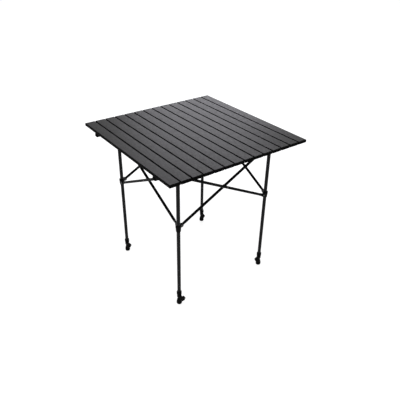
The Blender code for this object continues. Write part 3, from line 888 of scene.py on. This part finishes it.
for side, (first, second, along, inwards) in SIDES.items():
    hung = CORNERS[first]["inner"]
    for inner in (hung, not hung):
        start, end, way = brace_ends(side, inner)
        heading = Matrix.Rotation(math.atan2(way.y, way.x), 4, "Z")
        node = "brace_%s_%s" % (side, "inner" if inner else "outer")
        place = Matrix.Translation(start) @ heading @ Matrix.Rotation(BRACE_SLOPE, 4, "Y")
        add_piece(node, "_tube", make_brace(), place, BRACE_COAT)
        rivets = row_of(node + "_rivets", make_rivet(FORK_WIDTH), 2, (BRACE_LENGTH, 0, 0),
                        RIVET_STEEL)
        rivets.transform(place)
        settle(node + "_rivets", rivets, None, [node])
        if inner == hung:
            centre = (start + end) / 2 - inwards * (BRACE_OFFSET if inner else -BRACE_OFFSET)
            across = Matrix.Translation(centre) @ heading
            pin = make_rivet(2 * (BRACE_OFFSET + BRACE_RADIUS))
            node = "centre_pin_" + side
            add_piece(node, "_rivet", pin, across, RIVET_STEEL)
            add_piece(node, "_washer", make_washer(), across, HUB_PLASTIC)

# %% [markdown]
# ## The moulded hubs
# A hub is a sleeve with two forks. Each fork's plate is the convex hull of its eye and of the
# sleeve's side, which gives the tapering web of a real moulding. The plates are joined to the
# sleeve by Booleans, and the slots and holes are cut by shapes that reach beyond the hub. A bevel
# then takes off the sharp edges.

# %% Cutting and joining
def plate(points, low, high, swap):
    """A plate with a convex outline. Points are (out, up), and low and high are across it."""
    shape = bmesh.new()
    for out, up in points:
        for across in (low, high):
            shape.verts.new((across, out, up) if swap else (out, across, up))
    bmesh.ops.convex_hull(shape, input=shape.verts)
    spare = [vert for vert in shape.verts if not vert.link_faces]
    bmesh.ops.delete(shape, geom=spare, context="VERTS")
    bmesh.ops.dissolve_limit(shape, angle_limit=0.01, verts=shape.verts, edges=shape.edges)
    bmesh.ops.recalc_face_normals(shape, faces=shape.faces)
    return shape


def disc_points(radius, sides=32):
    """Points of a circle round a fork's pivot."""
    return [(PIVOT_REACH + radius * math.cos(angle), radius * math.sin(angle))
            for angle in angles(sides)]


def carve(name, base, joins, cuts):
    """Join shapes to a base, cut others from it and give the mesh."""
    body = new_object(name, as_mesh(name, base))
    tools = []
    steps = [("UNION", shape) for shape in joins] + [("DIFFERENCE", shape) for shape in cuts]
    for operation, shape in steps:
        tool = new_object(name + "_tool", as_mesh(name + "_tool", shape))
        modifier = body.modifiers.new(operation.lower(), "BOOLEAN")
        modifier.operation = operation
        modifier.solver = "EXACT"
        modifier.object = tool
        tools.append(tool)
    edge = body.modifiers.new("soft_edges", "BEVEL")
    edge.width = 0.0005
    edge.segments = 2
    edge.limit_method = "ANGLE"
    edge.angle_limit = CREASE
    mesh = evaluated_mesh(body)
    for item in tools + [body]:
        bpy.data.objects.remove(item, do_unlink=True)
    return mesh


FORK_RADIUS = 0.0082
SLOT = 0.004
WEB_INSET = 0.0015
EYE_HOLE = 0.0027
SLOT_REACH = 0.03
EYE_REACH = 0.05
BORE_REACH = 0.06
LEG_SLEEVE = LEG_RADIUS + 0.0004
HUB_WALL = 0.0040
HUB_RADIUS = LEG_RADIUS + TOUCH + HUB_WALL


def make_forks(inner, web):
    """What joins and cuts make both forks of a hub, each with a thinner web beside it."""
    offset = BRACE_OFFSET if inner else -BRACE_OFFSET
    outline = disc_points(FORK_RADIUS) + [(0, FORK_RADIUS), (0, -FORK_RADIUS)]
    floor, far = PIVOT_REACH - EYE_RADIUS - 0.0005, PIVOT_REACH + 2 * FORK_RADIUS
    gap = [(floor, SLOT_REACH), (floor, -SLOT_REACH), (far, SLOT_REACH), (far, -SLOT_REACH)]
    half, thin = FORK_WIDTH / 2, FORK_WIDTH / 2 - WEB_INSET
    joins, cuts = [], []
    for swap in (False, True):
        joins += [plate(outline, offset - half, offset + half, swap),
                  plate(web, offset - thin, offset + thin, swap)]
        cuts += [plate(gap, offset - SLOT / 2, offset + SLOT / 2, swap),
                 plate(disc_points(EYE_HOLE, 20), -EYE_REACH, EYE_REACH, swap)]
    return joins, cuts


print("a fork is", FORK_WIDTH * 1000, "mm wide with a slot of", SLOT * 1000, "mm")

# %% [markdown]
# The top hub is closed above the leg and ends in a flat seat for the rail. The slide hub is open
# at both ends, since it slides on the leg, and a web under each fork narrows it downwards to a V.

# %% Top hubs and slide hubs
def make_top_hub(inner):
    """A top hub, its pivots level with the origin."""
    seat = HUB_TOP - TOP_PIVOT
    base = turned(rounded([(0, -0.024, 0), (HUB_RADIUS - 0.0006, -0.024, 0.0008),
                           (HUB_RADIUS, -0.011, 0.001), (HUB_RADIUS, seat, 0.0012),
                           (0, seat, 0)]), 48)
    web = [(0, 0.006), (PIVOT_REACH - 0.003, 0.006), (0.0110, seat - 0.004), (0, seat - 0.004)]
    joins, cuts = make_forks(inner, web)
    socket_top = LEG_TOP + TOUCH - TOP_PIVOT
    radius = LEG_RADIUS + TOUCH
    socket = turned([
        (0, -BORE_REACH), (radius, -BORE_REACH), (radius, socket_top), (0, socket_top)], 40)
    return carve("top_hub", base, joins, cuts + [socket])


def make_slide_hub(inner):
    """A slide hub, its pivots level with the origin."""
    base = turned(rounded([(0, -0.018, 0), (0.0104, -0.018, 0.0008), (0.0107, -0.012, 0.001),
                           (0.0123, 0.004, 0.001), (0.0123, 0.010, 0.0012), (0, 0.010, 0)]), 48)
    web = [(0, -0.006), (PIVOT_REACH - 0.004, -0.006), (0.0095, -0.0165), (0, -0.0165)]
    joins, cuts = make_forks(inner, web)
    bore = turned([(0, -BORE_REACH), (LEG_SLEEVE, -BORE_REACH), (LEG_SLEEVE, BORE_REACH),
                   (0, BORE_REACH)], 40)
    return carve("slide_hub", base, joins, cuts + [bore])


for inner in (True, False):
    top_hub, slide_hub = make_top_hub(inner), make_slide_hub(inner)
    for corner, facts in CORNERS.items():
        kind, hub, height = (("top_hub_", top_hub, TOP_PIVOT) if facts["inner"] == inner
                             else ("slide_hub_", slide_hub, SLIDE_PIVOT))
        mesh = hub.copy()
        mesh.transform(at_leg(corner, height, facts["turn"]))
        node = kind + corner
        settle(node + "_moulding", mesh, [HUB_PLASTIC], [node])

# %% [markdown]
# ## Collars, feet and clamp knobs
# The collar and the foot are turned. The boss is joined to the collar by a Boolean, as on the
# hubs. The knob's rim has six lobes, so its rings are circles whose radius swells six times.

# %% Collars and feet
SCREW_HEIGHT = 0.049
BOSS_REACH = 0.0169
BOSS_RADIUS = 0.0057
SCREW_RADIUS = 0.0026
WAIST_RADIUS = 0.0102
COLLAR_RADIUS = 0.0113
LIE_ALONG_X = rotation(90, "Y")


def make_collar():
    """A collar with its boss towards +X."""
    seat, hole_radius = LEG_RADIUS + TOUCH, SCREW_RADIUS + TOUCH
    low, step, high = (COLLAR_BOTTOM + rise for rise in (0, 0.016, 0.030))
    base = turned(rounded([
        (seat, low, 0), (WAIST_RADIUS, low, 0.0006), (WAIST_RADIUS, step - 0.0004, 0.0004),
        (COLLAR_RADIUS, step, 0.0006), (COLLAR_RADIUS, high, 0.001), (seat, high, 0.0003)]),
        48, tube=True)
    sideways = moved(0, 0, SCREW_HEIGHT) @ LIE_ALONG_X
    boss = transformed(turned(rounded([
        (0, 0.0088, 0), (BOSS_RADIUS, 0.0088, 0), (BOSS_RADIUS, BOSS_REACH, 0.0008),
        (0, BOSS_REACH, 0)]), 28), sideways)
    hole = transformed(turned([
        (0, 0), (hole_radius, 0), (hole_radius, 0.03), (0, 0.03)], 24), sideways)
    bore = turned([(0, 0.03), (seat, 0.03), (seat, 0.08), (0, 0.08)], 40)
    return carve("collar", base, [boss], [bore, hole])


POST_RADIUS = 0.0066
POST_LENGTH = 0.069


def make_foot():
    """A foot: the post inside the leg, the neck, and the round shoe down to the sole."""
    neck = COLLAR_BOTTOM - TOUCH
    profile = rounded([
        (0, 0.0035, 0), (0.0112, 0.0035, 0.0004), (0.0124, 0.0054, 0.001), (0.0124, 0.0135, 0.004),
        (0.0096, 0.0270, 0.004), (0.0078, 0.0325, 0.002), (0.0076, neck, 0.0004),
        (POST_RADIUS, neck, 0.0002), (POST_RADIUS, neck + POST_LENGTH, 0.001),
        (0, neck + POST_LENGTH, 0)], 5)
    return turned(profile, 40)


def make_sole():
    """The rubber sole under a shoe."""
    return turned(rounded([
        (0, 0, 0), (0.0086, 0, 0.0014), (0.0116, 0.0024, 0.0012), (0.0112, 0.0036, 0.0003),
        (0, 0.0036, 0)], 5), 40)


collar = make_collar()
for corner, facts in CORNERS.items():
    heading = at_leg(corner, 0, facts["knob"])
    node = "foot_collar_" + corner
    mesh = collar.copy()
    mesh.transform(heading)
    settle(node + "_moulding", mesh, [FOOT_PLASTIC], [node])
    node = "foot_" + corner
    add_piece(node, "_shoe", make_foot(), heading, FOOT_PLASTIC)
    add_piece(node, "_sole", make_sole(), heading, SOLE_RUBBER)

# %% Clamp knobs
KNOB_LOBES = 6
KNOB_STEM = 0.007
KNOB_HEIGHT = 0.016
THREAD_PITCH = 0.0010
THREAD_DEPTH = 0.0004


def lobed_ring(radius, at, swell):
    """A ring across X whose radius swells once a lobe."""
    reach = [(angle, radius * (1 + swell * math.cos(KNOB_LOBES * angle))) for angle in angles(72)]
    return [(at, far * math.cos(angle), far * math.sin(angle)) for angle, far in reach]


def make_knob():
    """The lobed head and its stem along +X from the leg's axis."""
    start = BOSS_REACH + TOUCH
    head, face = start + KNOB_STEM, start + KNOB_HEIGHT
    return skin([lobed_ring(radius, at, swell) for radius, at, swell in (
        (0.0040, start, 0), (0.0045, start + 0.0005, 0), (0.0045, head - 0.0020, 0),
        (0.0050, head - 0.0008, 0), (0.0062, head - 0.0001, 0), (0.0103, head, 0.06),
        (0.0116, head + 0.0006, 0.085), (0.0120, head + 0.0018, 0.09),
        (0.0120, face - 0.0022, 0.09), (0.0116, face - 0.0008, 0.085), (0.0103, face, 0.07),
        (0.0075, face, 0.02), (0.0068, face - 0.0006, 0), (0.0020, face - 0.0006, 0))])


def make_screw():
    """The screw along +X, its thread turned as ridges."""
    start, end, root = 0.0070, BOSS_REACH + 0.0070, SCREW_RADIUS - THREAD_DEPTH
    profile = [(0, start)]
    for step in range(int((end - start) / THREAD_PITCH)):
        at = start + step * THREAD_PITCH
        profile += [(root, at), (SCREW_RADIUS, at + THREAD_PITCH / 2)]
    profile += [(root, end), (0, end)]
    return transformed(turned(profile, 20), LIE_ALONG_X)


for corner, facts in CORNERS.items():
    heading = at_leg(corner, SCREW_HEIGHT, facts["knob"])
    node = "knob_" + corner
    add_piece(node, "_head", make_knob(), heading, KNOB_PLASTIC)
    add_piece(node, "_screw", make_screw(), heading, RIVET_STEEL)

# %% [markdown]
# ## Floor and light
# The floor is white. To the camera, and in reflections, it also glows a little, so that it reads
# as pure white while the table's shadow still shows. The world does the same behind it. Two soft
# boxes light the table: a broad one overhead, and a lower one behind whose sheen lies on the slats.

# %% Floor and world
def empty_tree(owner):
    owner.use_nodes = True
    owner.node_tree.nodes.clear()
    return owner.node_tree


def seen(tree):
    """1 for rays from the camera, mirrors and glass, 0 for the light itself."""
    path = add_node(tree, "ShaderNodeLightPath")
    first = calculate(tree, "MAXIMUM", path.outputs["Is Camera Ray"], path.outputs["Is Glossy Ray"])
    return calculate(tree, "MAXIMUM", first, path.outputs["Is Transmission Ray"])


def seen_or_not(tree, output, plain, shown):
    """Show one shader to the camera and another to the light, at an output node."""
    mixed = add_node(tree, "ShaderNodeMixShader", {0: seen(tree), 1: plain, 2: shown})
    add_node(tree, output, {0: mixed})


def make_floor():
    """A wide floor just under the table's feet."""
    material = bpy.data.materials.new("white_floor")
    tree = empty_tree(material)
    plain = add_node(tree, "ShaderNodeBsdfDiffuse", {"Color": (0.8, 0.8, 0.8, 1)})
    pale = add_node(tree, "ShaderNodeBsdfDiffuse", {"Color": (0.30, 0.30, 0.30, 1)})
    glow = add_node(tree, "ShaderNodeEmission", {"Color": (1, 1, 1, 1), "Strength": 0.86})
    shown = add_node(tree, "ShaderNodeAddShader", {0: pale, 1: glow})
    seen_or_not(tree, "ShaderNodeOutputMaterial", plain, shown)
    shape = bmesh.new()
    bmesh.ops.create_grid(shape, x_segments=1, y_segments=1, size=12)
    floor = new_object("floor", as_mesh("floor", shape, moved(0, 0, -0.0005)))
    floor.data.materials.append(material)
    return floor


def make_world(strength):
    """White to the camera, and light of a strength to the table."""
    world = bpy.data.worlds.new("studio")
    bpy.context.scene.world = world
    tree = empty_tree(world)
    light = add_node(tree, "ShaderNodeBackground", {"Color": (1, 1, 1, 1), "Strength": strength})
    white = add_node(tree, "ShaderNodeBackground", {"Color": (1, 1, 1, 1), "Strength": 1.0})
    seen_or_not(tree, "ShaderNodeOutputWorld", light, white)


floor = make_floor()
make_world(0.5)
print("floor", floor.name, "and world", bpy.context.scene.world.name)


# %% Lamps
def add_lamp(name, place, target, size, power, colour):
    """A soft box of a width and a height that looks at a point and is never seen itself."""
    data = bpy.data.lights.new(name, "AREA")
    data.shape = "RECTANGLE"
    data.size, data.size_y = size
    data.energy = power
    data.color = colour
    lamp = new_object(name, data)
    lamp.location = place
    way = Vector(target) - Vector(place)
    lamp.rotation_euler = way.to_track_quat("-Z", "Y").to_euler()
    lamp.visible_camera = False


add_lamp("overhead", (-0.6, -0.4, 3.0), (0, 0, 0.4), (2.4, 2.4), 40, (1, 1, 1))
add_lamp("sheen", (2.02, 2.6, 1.95), (0, 0, 0.7), (1.6, 1.15), 60, (0.985, 0.97, 1.06))
print("two lamps")

# %% [markdown]
# ## Finish
# Standard view transform keeps the colours as they are written.

# %% Finish
bpy.context.scene.view_settings.view_transform = "Standard"
